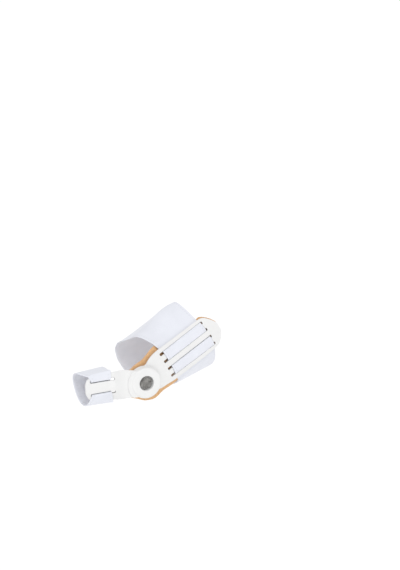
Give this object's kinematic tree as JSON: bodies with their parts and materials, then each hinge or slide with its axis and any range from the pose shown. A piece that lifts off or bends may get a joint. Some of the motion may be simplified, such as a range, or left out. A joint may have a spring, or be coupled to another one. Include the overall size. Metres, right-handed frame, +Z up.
{
  "type": "bunion corrector",
  "caption": "Hinged bunion splint for a right foot: rigid toe arm and foot plate on a round hub, with a foam pad, a toe strap and a midfoot strap.",
  "frame": {"origin": "on the hinge axis, on the skin side of the foam pad, where the hub's pad lies against the bunion joint", "axes": "-X to the toes, -Y away from the foot on its inner side, +Z up as the foot stands"},
  "size_m": [0.1392, 0.0955, 0.0801],
  "materials": {
    "plastic": "satin",
    "pin_steel": "satin",
    "foam": "matte",
    "strap_fabric": "matte"
  },
  "bodies": {
    "foot": {"foot_plate": "plastic", "foam_pad": "foam", "hinge_pin": "pin_steel", "foot_strap": "strap_fabric"},
    "toe": {"toe_arm": "plastic", "toe_strap": "strap_fabric"}
  },
  "joints": [
    {"name": "toe_hinge", "type": "hinge", "parent": "foot", "child": "toe", "pos_m": [0, 0, 0], "axis": [0, 1, 0], "range_deg": [-20, 45]}
  ]
}
